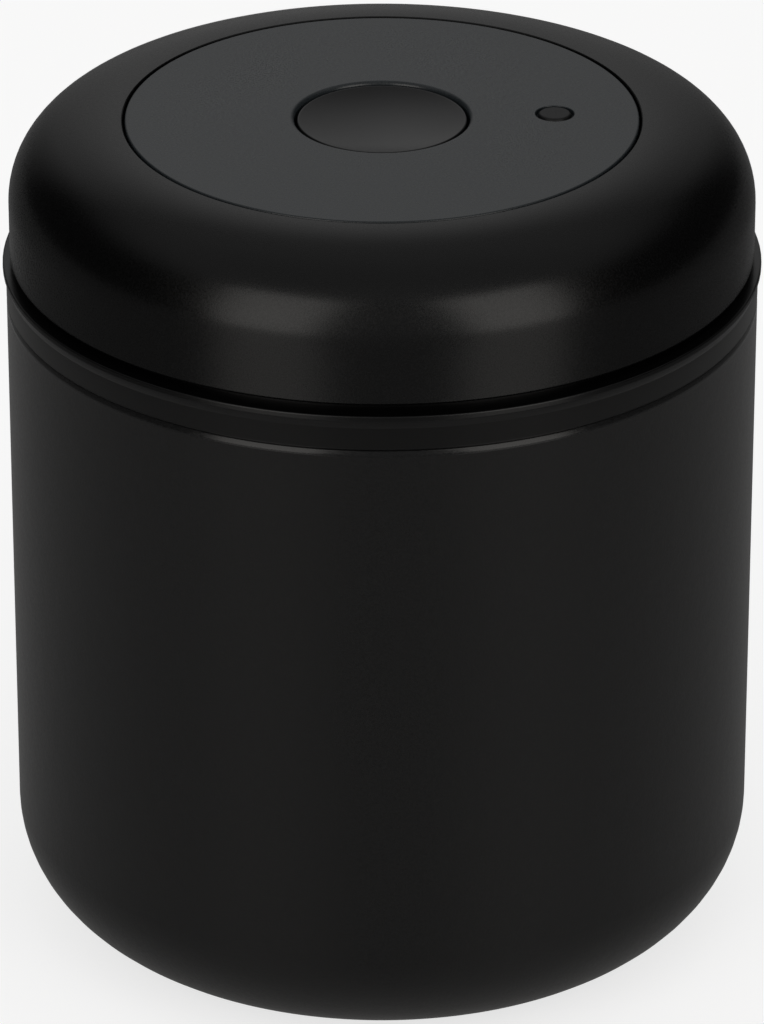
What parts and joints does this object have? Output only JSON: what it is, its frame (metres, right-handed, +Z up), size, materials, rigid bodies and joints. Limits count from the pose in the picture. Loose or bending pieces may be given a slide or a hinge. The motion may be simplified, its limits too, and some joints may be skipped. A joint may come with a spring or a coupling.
{
  "type": "coffee canister with valve",
  "caption": "Round steel food canister with a domed lid whose ring twists to pump out air, a press button that lets air back in, and a vacuum indicator dot.",
  "frame": {"origin": "centre of the base, on the surface that the canister stands on", "axes": "+Z up along the canister's axis, -Y towards the front of the picture, +X towards the indicator dot"},
  "size_m": [0.1198, 0.1198, 0.1371],
  "materials": {
    "coated_steel": "fine matte black powder coat outside, plain satin steel inside",
    "lid_plastic": "fine satin moulded texture",
    "disc_plastic": "flat matte soft-touch face",
    "button_plastic": "smooth satin",
    "frame_plastic": "plain moulded dark grey",
    "glide_plastic": "natural white low-friction moulding",
    "green_plastic": "bright green moulding",
    "silicone": "matte soft black silicone",
    "bright_steel": "plain zinc-bright steel",
    "filter_cloth": "thin off-white felt"
  },
  "bodies": {
    "canister": {"canister_body": "coated_steel"},
    "lid": {"lid_base": "lid_plastic", "main_gasket": "silicone", "filter_cover": "lid_plastic", "filter_pad": "filter_cloth", "glide_ring": "glide_plastic", "hub_frame": "frame_plastic", "hub_screws": "bright_steel", "disc_carrier": "frame_plastic", "carrier_screws": "bright_steel", "top_disc": "disc_plastic", "pump_cylinder": "frame_plastic", "cylinder_seal": "silicone", "inlet_valve": "silicone", "button_spring": "bright_steel", "indicator_sleeve": "green_plastic", "indicator_cup": "frame_plastic", "indicator_diaphragm": "silicone", "indicator_spring": "bright_steel", "indicator_tube": "silicone"},
    "dome": {"dome_cap": "lid_plastic", "cam_ring": "glide_plastic", "cam_screws": "bright_steel"},
    "piston": {"pump_piston": "glide_plastic", "piston_outer_seal": "silicone", "piston_inner_seal": "silicone", "piston_yoke": "glide_plastic", "cam_pins": "bright_steel", "exhaust_valve": "silicone"},
    "button": {"button_cap": "button_plastic", "valve_stem": "glide_plastic", "valve_poppet": "silicone"},
    "indicator": {"indicator_pin": "button_plastic"}
  },
  "joints": [
    {"name": "lid_lift", "type": "slide", "parent": "canister", "child": "lid", "axis": [0, 0, 1], "range_m": [0, 0.09]},
    {"name": "dome_twist", "type": "hinge", "parent": "lid", "child": "dome", "pos_m": [0, 0, 0.125], "axis": [0, 0, 1], "range_deg": [0, 90]},
    {"name": "pump_stroke", "type": "slide", "parent": "lid", "child": "piston", "axis": [0, 0, 1], "range_m": [0, 0.009]},
    {"name": "button_press", "type": "slide", "parent": "lid", "child": "button", "axis": [0, 0, -1], "range_m": [0, 0.003], "stiffness_N_per_m": 600, "springref_m": -0.004, "deforming": ["button_spring"]},
    {"name": "indicator_drop", "type": "slide", "parent": "lid", "child": "indicator", "axis": [0, 0, -1], "range_m": [0, 0.002], "stiffness_N_per_m": 150, "springref_m": -0.002, "deforming": ["indicator_spring", "indicator_diaphragm"]}
  ],
  "couplings": [
    {"joint": "pump_stroke", "follows": "dome_twist", "m_per_rad": 0.0057295}
  ]
}
